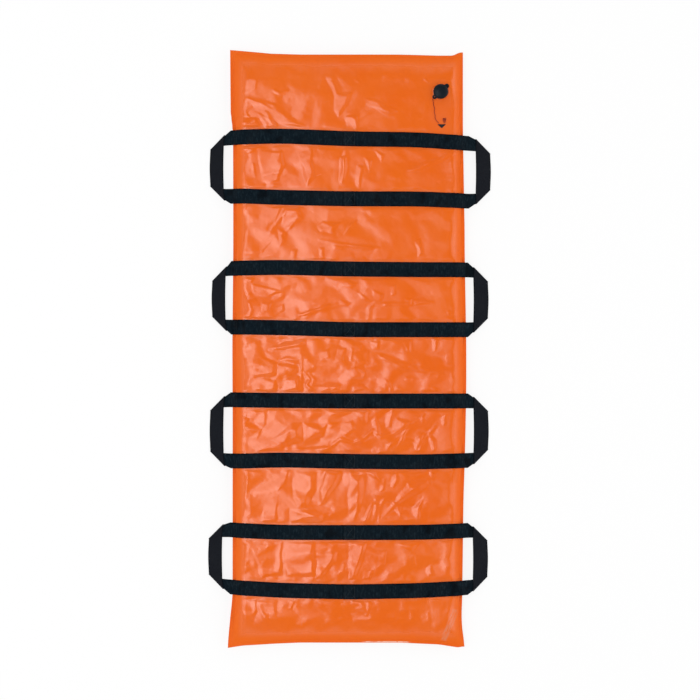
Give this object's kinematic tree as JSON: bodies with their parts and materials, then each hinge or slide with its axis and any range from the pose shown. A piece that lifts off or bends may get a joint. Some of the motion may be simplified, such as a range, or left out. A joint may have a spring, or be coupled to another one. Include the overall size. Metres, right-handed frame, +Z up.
{
  "type": "vacuum mattress",
  "caption": "Flat rescue mattress, a welded orange bag of beads with black webbing rings that end in side handles, and a capped check valve at one corner.",
  "frame": {"origin": "on the floor under the middle of the mattress", "axes": "+Y along the mattress towards the valve end, +X across it towards the valve's side, +Z up"},
  "size_m": [0.937, 2.014, 0.0719],
  "materials": {
    "orange_coated_fabric": "satin",
    "black_webbing": "matte",
    "white_beads": "matte",
    "black_moulding": "satin",
    "black_rubber": "matte",
    "natural_plastic": "satin",
    "red_silicone": "matte",
    "spring_steel": "polished",
    "red_cord": "matte"
  },
  "bodies": {
    "mattress": {"upper_sheet": "orange_coated_fabric", "lower_sheet": "orange_coated_fabric", "bead_fill": "white_beads", "webbing_1_head_left": "black_webbing", "webbing_1_head_right": "black_webbing", "webbing_1_foot_left": "black_webbing", "webbing_1_foot_right": "black_webbing", "webbing_2_head_left": "black_webbing", "webbing_2_head_right": "black_webbing", "webbing_2_foot_left": "black_webbing", "webbing_2_foot_right": "black_webbing", "webbing_3_head_left": "black_webbing", "webbing_3_head_right": "black_webbing", "webbing_3_foot_left": "black_webbing", "webbing_3_foot_right": "black_webbing", "webbing_4_head_left": "black_webbing", "webbing_4_head_right": "black_webbing", "webbing_4_foot_left": "black_webbing", "webbing_4_foot_right": "black_webbing", "weld_patch": "orange_coated_fabric", "valve_body": "black_moulding", "valve_seat": "black_moulding", "ring_nut": "black_moulding", "neck_gasket": "black_rubber", "stem_bridge": "natural_plastic", "filter_basket": "natural_plastic", "return_spring": "spring_steel", "tether_cord": "red_cord", "tether_tab": "black_webbing"},
    "loop_1_left": {"handle_1_left": "black_webbing"},
    "loop_1_right": {"handle_1_right": "black_webbing"},
    "loop_2_left": {"handle_2_left": "black_webbing"},
    "loop_2_right": {"handle_2_right": "black_webbing"},
    "loop_3_left": {"handle_3_left": "black_webbing"},
    "loop_3_right": {"handle_3_right": "black_webbing"},
    "loop_4_left": {"handle_4_left": "black_webbing"},
    "loop_4_right": {"handle_4_right": "black_webbing"},
    "cap": {"valve_cap": "black_rubber", "cap_seal": "black_rubber"},
    "check_valve": {"poppet": "natural_plastic", "check_disc": "red_silicone"}
  },
  "joints": [
    {"name": "handle_1_left_fold", "type": "hinge", "parent": "mattress", "child": "loop_1_left", "pos_m": [-0.3925, 0.605, 0.03055], "axis": [0, 1, 0], "range_deg": [-69, 115]},
    {"name": "handle_1_right_fold", "type": "hinge", "parent": "mattress", "child": "loop_1_right", "pos_m": [0.3925, 0.605, 0.03055], "axis": [0, -1, 0], "range_deg": [-69, 115]},
    {"name": "handle_2_left_fold", "type": "hinge", "parent": "mattress", "child": "loop_2_left", "pos_m": [-0.3925, 0.167, 0.03055], "axis": [0, 1, 0], "range_deg": [-69, 115]},
    {"name": "handle_2_right_fold", "type": "hinge", "parent": "mattress", "child": "loop_2_right", "pos_m": [0.3925, 0.167, 0.03055], "axis": [0, -1, 0], "range_deg": [-69, 115]},
    {"name": "handle_3_left_fold", "type": "hinge", "parent": "mattress", "child": "loop_3_left", "pos_m": [-0.3925, -0.271, 0.03055], "axis": [0, 1, 0], "range_deg": [-69, 115]},
    {"name": "handle_3_right_fold", "type": "hinge", "parent": "mattress", "child": "loop_3_right", "pos_m": [0.3925, -0.271, 0.03055], "axis": [0, -1, 0], "range_deg": [-69, 115]},
    {"name": "handle_4_left_fold", "type": "hinge", "parent": "mattress", "child": "loop_4_left", "pos_m": [-0.3925, -0.709, 0.03055], "axis": [0, 1, 0], "range_deg": [-69, 115]},
    {"name": "handle_4_right_fold", "type": "hinge", "parent": "mattress", "child": "loop_4_right", "pos_m": [0.3925, -0.709, 0.03055], "axis": [0, -1, 0], "range_deg": [-69, 115]},
    {"name": "cap_pull", "type": "slide", "parent": "mattress", "child": "cap", "axis": [0, 0, 1], "range_m": [0, 0.04]},
    {"name": "poppet_lift", "type": "slide", "parent": "mattress", "child": "check_valve", "axis": [0, 0, 1], "range_m": [0, 0.004], "stiffness_N_per_m": 250, "springref_m": -0.004, "deforming": ["return_spring"]}
  ]
}
